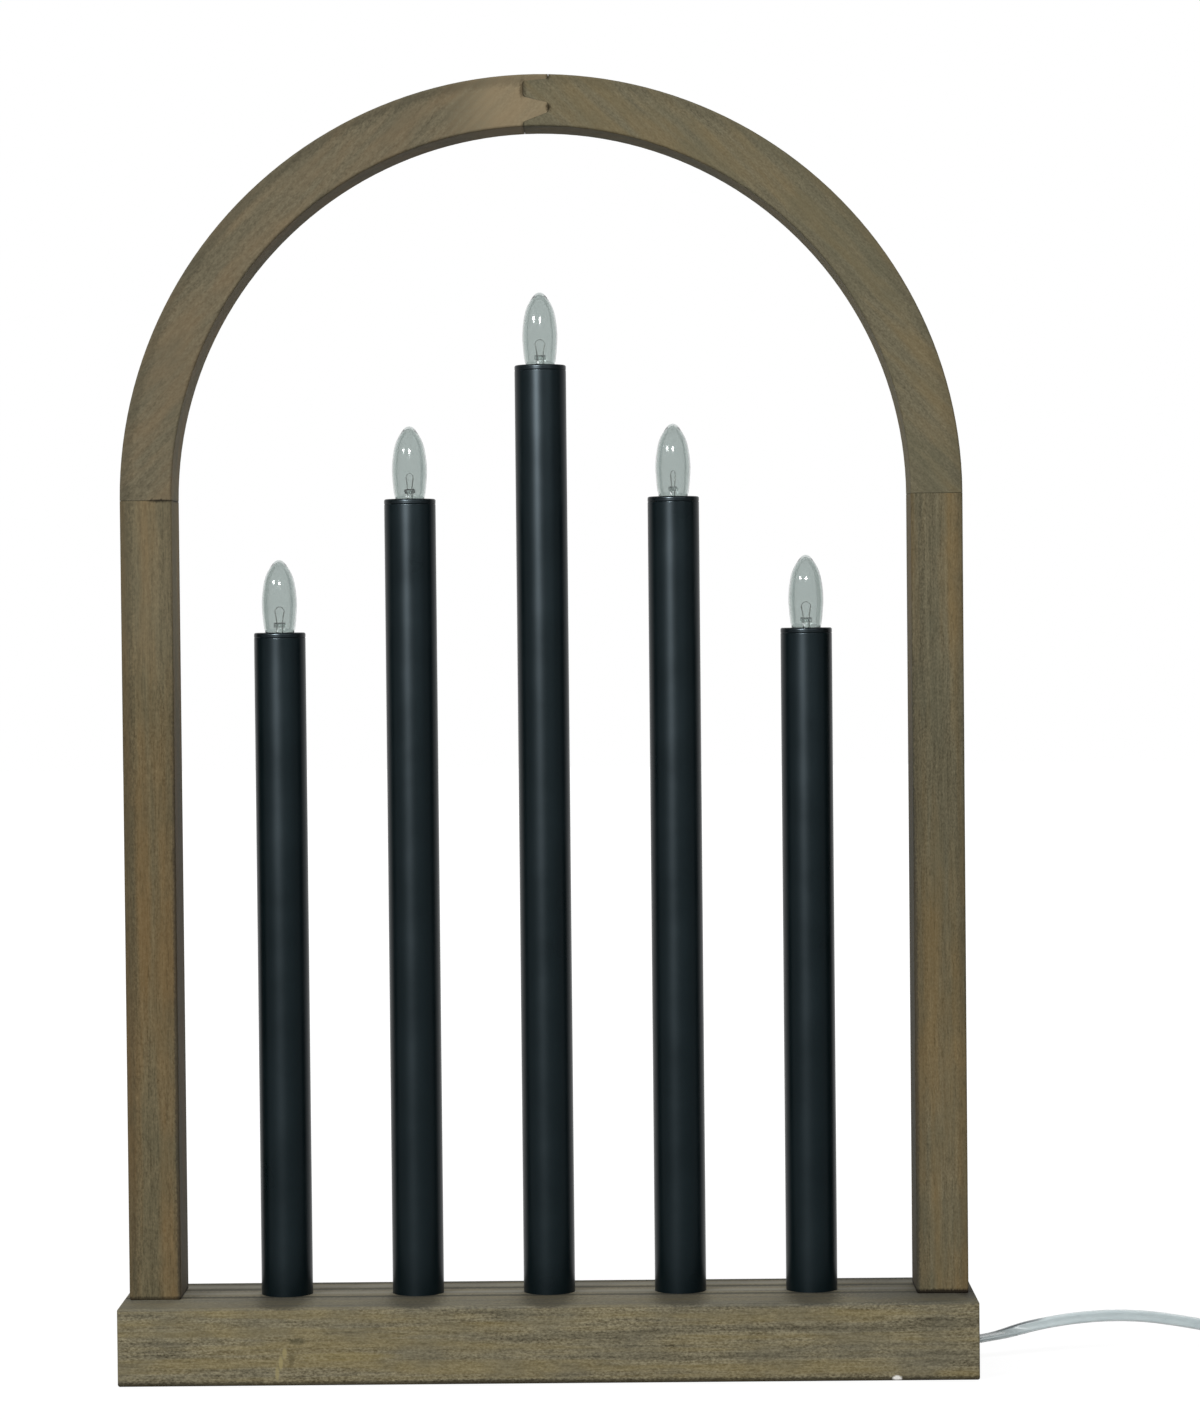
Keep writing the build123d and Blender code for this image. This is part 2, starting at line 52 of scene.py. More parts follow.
scene = bpy.context.scene
scene.view_settings.view_transform = "Standard"

# %% [markdown]
# The picture was taken from the front with a long lens, a little right of the middle and
# just above half height. A camera in Blender looks along its own -Z, so its matrix holds
# the side, the top and the reverse of the viewing direction as columns.

# %% Camera
camera_place = (0.03363, -1.61957, 0.29795)
yaw, pitch, roll = -0.0072, 0.0254, -0.0098
sensor_width, focal_length = 36, 105.84
ahead = Vector((math.sin(yaw) * math.cos(pitch), math.cos(yaw) * math.cos(pitch), -math.sin(pitch)))
level = Vector((math.cos(yaw), -math.sin(yaw), 0))
plumb = level.cross(ahead)
rightward = level * math.cos(roll) + plumb * math.sin(roll)
upward = plumb * math.cos(roll) - level * math.sin(roll)
lens = bpy.data.cameras.new("front_camera")
lens.sensor_width = sensor_width
lens.lens = focal_length
camera = bpy.data.objects.new("front_camera", lens)
scene.collection.objects.link(camera)
turned_camera = Matrix((rightward, upward, -ahead)).transposed().to_4x4()
camera.matrix_world = Matrix.Translation(camera_place) @ turned_camera
scene.camera = camera
print("camera", [round(v, 4) for v in camera.matrix_world.translation], "lens", lens.lens, "mm")

# %% [markdown]
# The cord is a flat twin cord with clear insulation. Its line could be drawn as many short
# straight pieces, but a NURBS spline bends as the plastic does. The first points leave the
# clamp, pass the hole in the block's end and arch over to the floor.

# %% Route of the cord's free stretch, in metres
cord_width, cord_thickness = 0.0046, 0.0023
route = [
    (0.118, 0.0045, 0.0085), (0.143, 0.0045, 0.0085), (0.168, 0.0045, 0.0089), (0.194, 0.0055, 0.0164),
    (0.226, 0.011, 0.0182), (0.258, 0.020, 0.0119), (0.290, 0.0295, 0.0031), (0.3074, 0.0295, 0.0031),
]
print("points of the free stretch", len(route))

# %% [markdown]
# The length that isn't needed is wound up for storage: five turns that tighten on the floor,
# a climb, and four that widen on top, with the plug laid on them. Each half turn has eight
# control points. They lie a little outside the turn, because a spline of order 3 touches the
# middles of the lines between its points.

# %% Turns of the coil
coil_x, coil_y = 0.312, -0.003
low, high, plug_level = 0.0031, 0.0082, 0.01765
outer, inner, half_step = 0.0325, 0.01825, 0.001425
low_halves, high_halves, points_a_half = 10, 8, 8


def turn_points(middle, radius, start, degrees, z0, z1):
    """Control points of a clockwise turn about a middle, climbing softly from z0 to z1."""
    count = round(points_a_half * degrees / 180)
    step = degrees / count
    wide = radius / math.cos(math.radians(step / 2))
    points = []
    for i in range(count):
        share = (i + 0.5) / count
        angle = math.radians(start - degrees * share)
        z = z0 + (z1 - z0) * (share * share * (3 - 2 * share))
        points.append((middle[0] + wide * math.cos(angle), middle[1] + wide * math.sin(angle), z))
    return points


y = coil_y + outer
for half in range(low_halves + 1 + high_halves):
    on_floor = half <= low_halves
    radius = outer - half * half_step if on_floor else inner + (half - low_halves) * half_step
    z0 = low if on_floor else high
    z1 = low if half < low_halves else high
    start, side = (90, -1) if half % 2 == 0 else (270, 1)
    route += turn_points((coil_x, y + side * radius), radius, start, 180, z0, z1)
    y += 2 * side * radius
print("points with the turns", len(route))

# %% [markdown]
# The cord's end climbs over the coil on its left and runs straight into the plug. The last
# points lie inside the plug, so that no end shows.

# %% Tail of the coil
last, tail_radius, climb_share = outer - half_step, 0.0185, 0.68
inside_plug = (0, 0.0046, 0.0086)
over = high + (plug_level - high) * climb_share
left_y = y + last
tail_x, plug_y = coil_x - last + tail_radius, left_y + tail_radius
route += turn_points((coil_x, left_y), last, 270, 90, high, over)
route += turn_points((tail_x, left_y), tail_radius, 180, 90, over, plug_level)
route += [(tail_x + along, plug_y, plug_level) for along in inside_plug]
print("points in all", len(route), "plug at", round(tail_x, 4), round(plug_y, 4))

# %% [markdown]
# The spline itself has no thickness. Turned into a mesh, it gives the points of a smooth
# line, and the spline can then go.

# %% Smooth line through the route
line_data = bpy.data.curves.new("cord_line", "CURVE")
line_data.dimensions = "3D"
spline = line_data.splines.new("NURBS")
spline.points.add(len(route) - 1)
for point, place in zip(spline.points, route):
    point.co = (*place, 1)
spline.order_u = 3
spline.use_endpoint_u = True
spline.resolution_u = 8
line_object = bpy.data.objects.new("cord_line", line_data)
line_mesh = bpy.data.meshes.new_from_object(line_object)
path = [v.co.copy() for v in line_mesh.vertices]
bpy.data.objects.remove(line_object)
bpy.data.meshes.remove(line_mesh)
bpy.data.curves.remove(line_data)
cord_length = sum((b - a).length for a, b in zip(path, path[1:]))
print("line points", len(path), "length", round(cord_length, 3), "m")

# %% [markdown]
# A flat section of two lobes is set at each point of the line, standing on edge, and it is
# twisted as it comes out of the hole, where the real cord leaves lying flat. A bevelled curve
# with tilted points would be shorter to write. In a mesh each corner can also carry a value
# of its own, here how dark it is, for the cord's upper edge near the block.

# %% Sections along the line
lobe = cord_thickness / 2
lobe_start, lobe_span, lobe_steps = -28, 236, 10
section = []
for centre, first in ((lobe, lobe_start), (-lobe, lobe_start + 180)):
    for i in range(lobe_steps + 1):
        angle = math.radians(first + lobe_span * i / lobe_steps)
        section.append((lobe * math.cos(angle), centre + lobe * math.sin(angle)))


def eased(value, start, end):
    """0 before start, 1 after end, and a soft step between."""
    share = min(max((value - start) / (end - start), 0), 1)
    return share * share * (3 - 2 * share)


# the twist and the dark edge belong to the first points only, with x in metres
lead_points, exit_twist = 100, math.radians(74)
twist_in, twist_out, edge_end = (0.134, 0.160), (0.170, 0.191), (0.190, 0.193)
exit_shade, edge_strength, edge_band = 0.4, 0.9, (0.55, 0.8)
corners, edge_shade = [], []
for i, place in enumerate(path):
    heading = (path[min(i + 1, len(path) - 1)] - path[max(i - 1, 0)]).normalized()
    side = heading.cross(Vector((0, 0, 1))).normalized()
    upright = side.cross(heading)
    flat, dark = 0, 0
    if i < lead_points:
        flat = eased(place.x, *twist_in) * (1 - eased(place.x, *twist_out))
        dark = edge_strength * (1 - eased(place.x, *edge_end))
    cosine, sine = math.cos(exit_twist * flat), math.sin(exit_twist * flat)
    turned = [(a * cosine - b * sine, a * sine + b * cosine) for a, b in section]
    crest = max(up for across, up in turned)
    for across, up in turned:
        corners.append(place + side * across + upright * up)
        edge_shade.append(max(exit_shade * flat, dark * eased(up / crest, *edge_band)))
print("sections", len(path), "corners", len(corners))

# %% [markdown]
# Neighbouring sections are joined by faces, and both ends are closed. The mesh replaces the
# plain cord of the solids, which is hidden, and rides with the frame.

# %% Flat cord
around = len(section)
faces = []
for i in range(len(path) - 1):
    for j in range(around):
        k = (j + 1) % around
        faces.append((i * around + j, i * around + k, (i + 1) * around + k, (i + 1) * around + j))
faces.append(tuple(reversed(range(around))))
faces.append(tuple(range((len(path) - 1) * around, len(path) * around)))
cord_mesh = bpy.data.meshes.new("flat_cord")
cord_mesh.from_pydata(corners, [], faces)
cord_mesh.polygons.foreach_set("use_smooth", [True] * len(faces))
cord_mesh.attributes.new("edge_shade", "FLOAT", "POINT").data.foreach_set("value", edge_shade)
cord_mesh.update()
flat_cord = bpy.data.objects.new("flat_cord", cord_mesh)
scene.collection.objects.link(flat_cord)
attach(flat_cord, "frame")
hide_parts("cord_lead", "cord_coil")
print("cord corners", len(corners), "faces", len(faces))

# %% [markdown]
# Colours are written as sRGB hex values, as a paint program shows them. Shaders work with
# linear light, so one function turns them over. Another adds a node with its settings and
# links, which keeps every material below to a list of what it is made of.

# %% Colour and node helpers
MM = 0.001


def linear(code):
    """Linear colour of an sRGB hex value."""
    parts = [int(code[i:i + 2], 16) / 255 for i in (1, 3, 5)]
    return (*[c / 12.92 if c <= 0.04045 else ((c + 0.055) / 1.055) ** 2.4 for c in parts], 1)


def add(tree, kind, inputs=(), **settings):
    """Adds a node; an input is a value or another node's output."""
    node = tree.nodes.new(kind)
    for name, value in settings.items():
        setattr(node, name, value)
    for key, value in dict(inputs).items():
        if isinstance(value, bpy.types.NodeSocket):
            tree.links.new(value, node.inputs[key])
        else:
            node.inputs[key].default_value = value
    return node


def finish_named(name):
    """An empty material, its node tree and its shader."""
    material = bpy.data.materials.new(name)
    material.use_nodes = True
    return material, material.node_tree, material.node_tree.nodes["Principled BSDF"]


def dress(material, *names):
    """Gives CAD nodes a finish."""
    for name in names:
        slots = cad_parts[name].data.materials
        slots.clear()
        slots.append(material)


def box_mm(name):
    """Low and high corner of a CAD node, in millimetres."""
    return [[c / MM for c in corner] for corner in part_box(name)]


print("white is", linear("#ffffff"), "and the block, in mm,", box_mm("base_block"))

# %% [markdown]
# The object stands on a plain white sheet in an even white room. Both look white to the
# camera, and in reflections and glass, while the light that they throw on the object is much
# weaker, as from a matt table. The Light Path node tells the two kinds of ray apart.

# %% What is seen


def seen_rays(tree):
    """1 for rays from the camera or by way of a reflection or glass, otherwise 0."""
    ray = add(tree, "ShaderNodeLightPath")
    glossy, clear = ray.outputs["Is Glossy Ray"], ray.outputs["Is Transmission Ray"]
    mirrored = add(tree, "ShaderNodeMath", {0: glossy, 1: clear}, operation="MAXIMUM")
    straight = ray.outputs["Is Camera Ray"]
    seen = add(tree, "ShaderNodeMath", {0: straight, 1: mirrored.outputs[0]}, operation="MAXIMUM")
    return seen.outputs[0]


world = bpy.data.worlds.new("white_room")
scene.world = world
world.use_nodes = True
tree = world.node_tree
tree.nodes.clear()
room_light, room_white = 0.46, 1.0
strength = add(tree, "ShaderNodeMapRange",
               {"Value": seen_rays(tree), "To Min": room_light, "To Max": room_white})
back = add(tree, "ShaderNodeBackground", {"Color": (1, 1, 1, 1), "Strength": strength.outputs[0]})
add(tree, "ShaderNodeOutputWorld", {"Surface": back.outputs[0]})
print("room gives", room_light, "and shows", room_white)

# %% [markdown]
# Near the object part of the sheet stays an ordinary matt surface, so that the shadow is
# kept. Farther off it only glows, and runs into the white room without a horizon.

# %% Floor
reach, floor_level = 6.0, -0.0001
floor_mesh = bpy.data.meshes.new("floor")
square = [(-reach, -reach), (reach, -reach), (reach, reach), (-reach, reach)]
floor_mesh.from_pydata([(x, y, floor_level) for x, y in square], [], [(0, 1, 2, 3)])
floor = bpy.data.objects.new("floor", floor_mesh)
scene.collection.objects.link(floor)
sheet = bpy.data.materials.new("white_paper_sheet")
sheet.use_nodes = True
tree = sheet.node_tree
tree.nodes.clear()
seen = seen_rays(tree)
sheet_glow = 1.1
near_metres, far_metres, near_share = 0.3, 0.7, 0.79
shade = add(tree, "ShaderNodeMix", {0: seen, 6: linear("#7a7a7a"), 7: linear("#fafafa")}, data_type="RGBA")
matt = add(tree, "ShaderNodeBsdfDiffuse", {"Color": shade.outputs[2]})
glow = add(tree, "ShaderNodeEmission", {"Color": (1, 1, 1, 1), "Strength": sheet_glow})
place = add(tree, "ShaderNodeNewGeometry")
away = add(tree, "ShaderNodeVectorMath", {0: place.outputs["Position"]}, operation="LENGTH")
plain = add(tree, "ShaderNodeMapRange",
            {"Value": away.outputs["Value"], "From Min": near_metres, "From Max": far_metres,
             "To Min": near_share, "To Max": 1.0})
share = add(tree, "ShaderNodeMath", {0: seen, 1: plain.outputs[0]}, operation="MULTIPLY")
blend = add(tree, "ShaderNodeMixShader", {0: share.outputs[0], 1: matt.outputs[0], 2: glow.outputs[0]})
add(tree, "ShaderNodeOutputMaterial", {"Surface": blend.outputs[0]})
floor_mesh.materials.append(sheet)
print("floor", 2 * reach, "m wide")

# %% [markdown]
# Two softboxes stand in front, one of them well to the left, and a weak one fills in the
# back. Two more lamps reach only the black tubes and collars, and only as reflections: they
# draw the upright streaks on the lacquer. Light linking does that, with a collection of the
# pieces that a lamp may reach.

# %% Lamps
black_pieces = bpy.data.collections.new("black_pieces")
for n in numbers:
    black_pieces.objects.link(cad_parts[f"candle_tube_{n}"])
    black_pieces.objects.link(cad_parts[f"lamp_holder_{n}"])
lamp_target, lamp_distance = Vector((0, 0, 0.3)), 2.4
# azimuth and height in degrees, width and length in metres, watts, and what it reaches
softboxes = {
    "left_softbox": (-44, 23, 0.6, 0.15, 19, "all"),
    "front_softbox": (2, 23, 0.4, 0.15, 25, "all"),
    "back_softbox": (165, 14, 1.2, 0.8, 22, "matt"),
    "left_streak": (-18, 20, 0.45, 0.35, 500, "black"),
    "right_streak": (34, 20, 1.4, 1.0, 42, "black"),
}
for name, (azimuth, height, width, length, power, reached) in softboxes.items():
    turn, tilt = math.radians(azimuth), math.radians(height)
    aim = Vector((math.sin(turn) * math.cos(tilt), -math.cos(turn) * math.cos(tilt), math.sin(tilt)))
    lamp = bpy.data.lights.new(name, "AREA")
    lamp.shape = "RECTANGLE"
    lamp.size, lamp.size_y = width, length
    lamp.energy = power
    softbox = bpy.data.objects.new(name, lamp)
    scene.collection.objects.link(softbox)
    softbox.location = lamp_target + lamp_distance * aim
    softbox.rotation_euler = (-aim).to_track_quat("-Z", "Y").to_euler()
    softbox.visible_diffuse = reached != "black"
    softbox.visible_glossy = reached != "matt"
    softbox.visible_transmission = reached != "matt"
    if reached == "black":
        softbox.light_linking.receiver_collection = black_pieces
    print(name, [round(c, 2) for c in softbox.location], power, "W")

# %% [markdown]
# Wood that is in use has marks: knots, stain that gathered in joints, dirt and chips. The same
# marks also lay painted shade, shadow, sheen and reflection on the wood. Painting them on an
# image would need unwrapping. Here each mark is a soft spot around a place in space, stretched
# as far as the mark reaches, and a ring is a spot around a circle. The wood's own flecks roughen
# its edge.

# %% Marks on wood
mark_core, mark_end, mark_fray = 0.9, 1.4, 0.6


def marked(tree, where, fleck, colour, marks):
    """Lays marks over a colour: (middle, reach, colour, strength), in mm, and for a ring its radius."""
    for centre, reach, tint, strength, *ring in marks:
        middle, per_reach = [c * MM for c in centre], [1 / (r * MM) for r in reach]
        off = add(tree, "ShaderNodeVectorMath", {0: where, 1: middle}, operation="SUBTRACT")
        sized = add(tree, "ShaderNodeVectorMath", {0: off.outputs[0], 1: per_reach}, operation="MULTIPLY")
        away = add(tree, "ShaderNodeVectorMath", {0: sized.outputs[0]}, operation="LENGTH").outputs["Value"]
        if ring:
            beside = add(tree, "ShaderNodeMath", {0: away, 1: ring[0] / reach[0]}, operation="SUBTRACT")
            away = add(tree, "ShaderNodeMath", {0: beside.outputs[0]}, operation="ABSOLUTE").outputs[0]
        frayed = add(tree, "ShaderNodeMath", {0: fleck, 1: mark_fray, 2: away}, operation="MULTIPLY_ADD")
        mask = add(tree, "ShaderNodeMapRange",
                   {"Value": frayed.outputs[0], "From Min": mark_core, "From Max": mark_end,
                    "To Min": strength, "To Max": 0.0})
        laid = add(tree, "ShaderNodeMix", {0: mask.outputs[0], 6: colour, 7: linear(tint)}, data_type="RGBA")
        colour = laid.outputs[2]
    return colour


print("a mark is full to", mark_core - mark_fray / 2, "and gone at", mark_end - mark_fray / 2, "of its reach")

# %% [markdown]
# The block, legs and arch are pine, planed and rubbed with a grey-brown stain. The eye sees
# growth rings a few millimetres apart, fine fibres along the grain, short dark flecks where
# the stain sat in the pores, and slow patches of warmer and greyer brown. All of it is drawn
# in space, turned so that the grain runs along each bar, so the end grain fits the sides.

# %% Stained pine
ring_gap, ring_bend, ring_weight = 3.4 * MM, 6 * MM, 0.05
# a wave texture makes one ring in this many units at scale 1
wave_units = math.tau / 20


def stained_pine(name, turn, shift, colours, lines, flecks, pores, streak, shares, marks):
    """Pine with its grain along X after a turn, and how much of each pattern it shows."""
    dark, light, warm, cool = [linear(code) for code in colours]
    warm_share, cool_share, line_share = shares
    material, tree, shader = finish_named(name)
    where = add(tree, "ShaderNodeTexCoord").outputs["Object"]
    grain = add(tree, "ShaderNodeMapping", {"Vector": where, "Rotation": turn, "Location": shift}).outputs[0]

    def along_grain(length, width, detail):
        """Noise of a length and a width in mm."""
        scale = (1 / (length * MM), 1 / (width * MM), 1 / (width * MM))
        sized = add(tree, "ShaderNodeMapping", {"Vector": grain, "Scale": scale})
        return add(tree, "ShaderNodeTexNoise",
                   {"Vector": sized.outputs[0], "Scale": 1.0, "Detail": detail, "Roughness": 0.55})

    # single fibres and pores are too fine to show, so they are drawn 0.7 and 0.6 mm wide
    bend, band, patch = along_grain(90, 18, 2), along_grain(*streak, 3), along_grain(26, 12, 3)
    fibre, pore = along_grain(14, 0.7, 3).outputs["Fac"], along_grain(5, 0.6, 1).outputs["Fac"]
    fleck = along_grain(1.1, 0.6, 2).outputs["Fac"]
    bent = add(tree, "ShaderNodeVectorMath",
               {0: bend.outputs["Color"], 1: (0, ring_bend, ring_bend)}, operation="MULTIPLY")
    wavy = add(tree, "ShaderNodeVectorMath", {0: grain, 1: bent.outputs[0]}, operation="ADD")
    rings = add(tree, "ShaderNodeTexWave",
                {"Vector": wavy.outputs[0], "Scale": wave_units / ring_gap, "Distortion": 1.2,
                 "Detail": 3.0, "Detail Scale": 2.0},
                wave_type="RINGS", rings_direction="X", wave_profile="SIN")

    # rings, fibres and flecks together give how dark the stain took
    ring_part = add(tree, "ShaderNodeMath", {0: rings.outputs["Fac"], 1: ring_weight}, operation="MULTIPLY")
    fibre_part = add(tree, "ShaderNodeMath",
                     {0: fibre, 1: lines, 2: ring_part.outputs[0]}, operation="MULTIPLY_ADD")
    tone = add(tree, "ShaderNodeMath",
               {0: fleck, 1: flecks, 2: fibre_part.outputs[0]}, operation="MULTIPLY_ADD")
    middle, spread = (ring_weight + lines + flecks) / 2, 0.25
    level_tone = add(tree, "ShaderNodeMapRange",
                     {"Value": tone.outputs[0], "From Min": middle - spread, "From Max": middle + spread})
    brown = add(tree, "ShaderNodeMix", {0: level_tone.outputs[0], 6: dark, 7: light}, data_type="RGBA")

    # warm streaks and grey patches
    banded = add(tree, "ShaderNodeMapRange",
                 {"Value": band.outputs["Fac"], "From Min": 0.42, "From Max": 0.62, "To Max": warm_share})
    warmer = add(tree, "ShaderNodeMix",
                 {0: banded.outputs[0], 6: brown.outputs[2], 7: warm}, data_type="RGBA")
    patchy = add(tree, "ShaderNodeMapRange",
                 {"Value": patch.outputs["Fac"], "From Min": 0.45, "From Max": 0.65, "To Max": cool_share})
    cooler = add(tree, "ShaderNodeMix",
                 {0: patchy.outputs[0], 6: warmer.outputs[2], 7: cool}, data_type="RGBA")

    # the stain is darkest along some of the streaks and in the open pores
    lined = add(tree, "ShaderNodeMapRange",
                {"Value": band.outputs["Fac"], "From Min": 0.35, "From Max": 0.46,
                 "To Min": line_share, "To Max": 0.0})
    streaky = add(tree, "ShaderNodeMix",
                  {0: lined.outputs[0], 6: cooler.outputs[2], 7: linear("#3a3629")}, data_type="RGBA")
    filled = add(tree, "ShaderNodeMapRange",
                 {"Value": pore, "From Min": 0.58, "From Max": 0.72, "To Max": pores})
    porous = add(tree, "ShaderNodeMix",
                 {0: filled.outputs[0], 6: streaky.outputs[2], 7: linear("#2f2b1c")}, data_type="RGBA")
    tree.links.new(marked(tree, where, fleck, porous.outputs[2], marks), shader.inputs["Base Color"])
    rough = add(tree, "ShaderNodeMapRange", {"Value": fibre, "To Min": 0.6, "To Max": 0.85})
    tree.links.new(rough.outputs[0], shader.inputs["Roughness"])
    # planed fibres stand about 0.05 mm proud
    relief = add(tree, "ShaderNodeBump", {"Height": tone.outputs[0], "Distance": 0.06 * MM, "Strength": 0.6})
    tree.links.new(relief.outputs[0], shader.inputs["Normal"])
    shader.inputs["IOR"].default_value = 1.5
    shader.inputs["Specular IOR Level"].default_value = 0.07
    return material


print("growth rings", round(ring_gap / MM, 1), "mm apart, bent by up to", round(ring_bend / MM, 1), "mm")

# %% [markdown]
# The block's top has a painted grey sheen that makes it greyer than its front, and darker and
# lighter lines along it. A painted reflection and shadow lie in front of each tube, and painted
# shadow around the right leg. On the front are a slanting pale knot with a dark side, a smudge
# and a yellow streak. The lower edge has painted contact shadow, and a chip has left a white
# spot on it. A reach far past the block makes a mark endless.

# %% Marks of the block
endless, thin, deep = 900, 1.2, 40
# dark stain of the left joint with the arch, and painted shade at the feet and beside the right leg
joint_stain_and_shade = "#1b1712"
block_low, block_high = box_mm("base_block")
block_front, block_top = block_low[1], block_high[2]
candle_x = [sum(corner[0] for corner in box_mm(f"candle_tube_{n}")) / 2 for n in numbers]
knot_x, chip_x = -103.8, 133.3


def on_front(x, z, width, height, tint, strength):
    """A mark on the block's front."""
    return (x, block_front, z), (width, deep, height), tint, strength


# painted grey sheen over the whole top of the block
block_marks = [((0, 0, block_top), (endless, 200, thin), "#6a6a64", 0.4)]
block_marks += [((0, y, block_top), (endless, 2.4, 1.4), "#2e2e2a", 0.65) for y in (27, 13, -5)]
block_marks += [((0, y, block_top), (endless, 3.0, 1.4), "#8f8d84", 0.45) for y in (20, 4)]
# painted reflection and shadow of each tube on the top, in front of it
block_marks += [((x, -14, block_top), (11.5, 30, thin), "#24221d", 0.5) for x in candle_x]
block_marks += [
    # painted shadow on the top around the right leg
    ((block_high[0] - 10, 0, block_top), (48, 60, thin), "#2f302b", 0.45),
    ((block_high[0] - 2, 0, block_top), (6, 24, thin), joint_stain_and_shade, 0.5),
    on_front(knot_x, 4.8, 0.9, 3.0, "#a3976b", 0.6),
    on_front(knot_x + 1.4, 8.8, 0.9, 3.0, "#a3976b", 0.7),
    on_front(knot_x + 2.9, 12.4, 1.0, 2.6, "#a3976b", 0.6),
    on_front(knot_x + 5.6, 10, 1.3, 3.2, "#3f3826", 0.45),
    on_front(knot_x + 7.8, 17, 3.6, 1.5, "#3b3a2c", 0.5),
    on_front(knot_x + 25.8, 11, 22, 1.8, "#938452", 0.28),
    # painted contact shadow along the lower edge
    ((0, 0, 0), (endless, endless, 2.0), "#2a2519", 0.75),
    ((chip_x, block_front, 1.0), (1.9, 2.6, 1.2), "#f2efe8", 1.0),
]
print("marks on the block", len(block_marks))

# %% [markdown]
# The legs have painted shade along their edges and on the lower part of their inner sides, and
# painted shadow at their feet. Stain has gathered in part of the left joint with the arch. The
# arch has painted shade along its outer edge, and its left half is paler at the crown. Dark
# spots show where the fingers of the crown's joint leave small gaps.

# %% Marks of the legs and the arch
painted_rim_shade, glue_dark, painted_inner_shade = "#34332a", "#2f2719", "#25282a"
leg_low, leg_high = box_mm("leg_left")
left_outer, left_inner = leg_low[0], leg_high[0]
right_inner, right_outer = [corner[0] for corner in box_mm("leg_right")]
leg_middle, bar_middle, spring = (right_inner + right_outer) / 2, (leg_low[1] + leg_high[1]) / 2, leg_high[2]
arch_radius = right_outer
crown = spring + arch_radius


def leg_rim_shade(x, width, strength):
    """Painted shade in a strip along a leg's edge."""
    return (x, 0, 190), (width, endless, endless), painted_rim_shade, strength


def inner_side_shade(x):
    """Painted shade on the lower part of a leg's inner side."""
    return (x, bar_middle, 110), (1.6, 90, 170), painted_inner_shade, 0.55


def arch_rim_shade(strength):
    """Painted shade in a strip along the arch's outer edge."""
    return (0, 0, spring), (4.5, 10 * endless, 4.5), painted_rim_shade, strength, arch_radius


joint_left = ((left_inner - 4.5, bar_middle, spring), (7, 24, 0.9), joint_stain_and_shade, 0.8)
left_leg_marks = [
    ((-leg_middle, 0, 195), (60, 90, 70), "#4a3d26", 0.15),
    ((-leg_middle, 0, 315), (60, 90, 45), "#8c826c", 0.15),
    leg_rim_shade(left_outer, 5, 0.38), leg_rim_shade(left_inner, 5, 0.12), inner_side_shade(left_inner),
    # painted shadow at the foot, then stain in the joint with the arch
    ((-leg_middle, bar_middle, block_top), (60, 80, 1.5), joint_stain_and_shade, 0.65), joint_left,
]
right_leg_marks = [
    ((leg_middle, 0, 195), (60, 90, 70), "#45402e", 0.2),
    leg_rim_shade(right_inner, 5, 0.22), leg_rim_shade(right_outer, 4, 0.25), inner_side_shade(right_inner),
    # painted shadow at the foot
    ((leg_middle, bar_middle, block_top), (60, 80, 1.9), joint_stain_and_shade, 0.95),
]
finger_left, finger_right = -5.4, 4.4
finger_gaps = [
    ((finger_left, bar_middle, crown - 5.7), (1.6, 30, 4.4), glue_dark, 0.6),
    ((finger_right, bar_middle, crown - 12.9), (1.2, 30, 2.0), glue_dark, 0.85),
    ((finger_right, bar_middle, crown - 0.9), (1.2, 30, 1.8), glue_dark, 0.7),
    ((finger_left, bar_middle, crown - 19.5), (1.0, 30, 1.8), glue_dark, 0.3),
]
pale_end = ((2, bar_middle, crown - 11.9), (34, 60, 34), "#a29071", 0.42)
print("legs from", left_outer, "to", right_outer, "mm, spring at", spring, "and crown at", crown)

# %% [markdown]
# Each bar gets its own piece of wood: another place in the grain, and colours that lean a
# little towards olive, grey or red as the stained bars do. The four colours are the dark and
# the light wood, the warm streaks and the grey patches.

# %% Wood for each bar
quarter = math.pi / 2
woods = {
    "base_block": dict(
        name="stained_pine_block", turn=(0, 0, 0), shift=(0.0, 0.02, 0.055),
        colours=("#433c2d", "#a0987d", "#8a7b50", "#6b685a"), lines=0.45, flecks=0.85, pores=0.25,
        streak=(90, 4), shares=(0.45, 0.4, 0.3), marks=block_marks),
    "leg_left": dict(
        name="stained_pine_left_leg", turn=(0, quarter, 0), shift=(0.1, 0.05, 0.18),
        colours=("#413a2a", "#867b5f", "#84663d", "#5a5744"), lines=0.45, flecks=0.5, pores=0.25,
        streak=(160, 10), shares=(0.45, 0.35, 0.12), marks=left_leg_marks),
    "leg_right": dict(
        name="stained_pine_right_leg", turn=(0, quarter, 0), shift=(0.3, 0.06, -0.13),
        colours=("#423c2d", "#888067", "#866c41", "#5a5a4a"), lines=0.45, flecks=0.55, pores=0.3,
        streak=(140, 9), shares=(0.45, 0.35, 0.14), marks=right_leg_marks),
    "arch_left": dict(
        name="stained_pine_left_arch", turn=(0, quarter / 2, 0), shift=(0.2, 0.05, -0.02),
        colours=("#484133", "#857d66", "#806b4f", "#625d4c"), lines=0.12, flecks=0.5, pores=0.1,
        streak=(40, 8), shares=(0.35, 0.4, 0.1), marks=[pale_end, arch_rim_shade(0.3), joint_left, *finger_gaps]),
    "arch_right": dict(
        name="stained_pine_right_arch", turn=(0, -quarter / 2, 0), shift=(0.5, 0.04, 0.03),
        colours=("#474132", "#888169", "#7f6c48", "#605e4b"), lines=0.12, flecks=0.5, pores=0.1,
        streak=(50, 7), shares=(0.35, 0.4, 0.1), marks=[arch_rim_shade(0.15), *finger_gaps]),
}
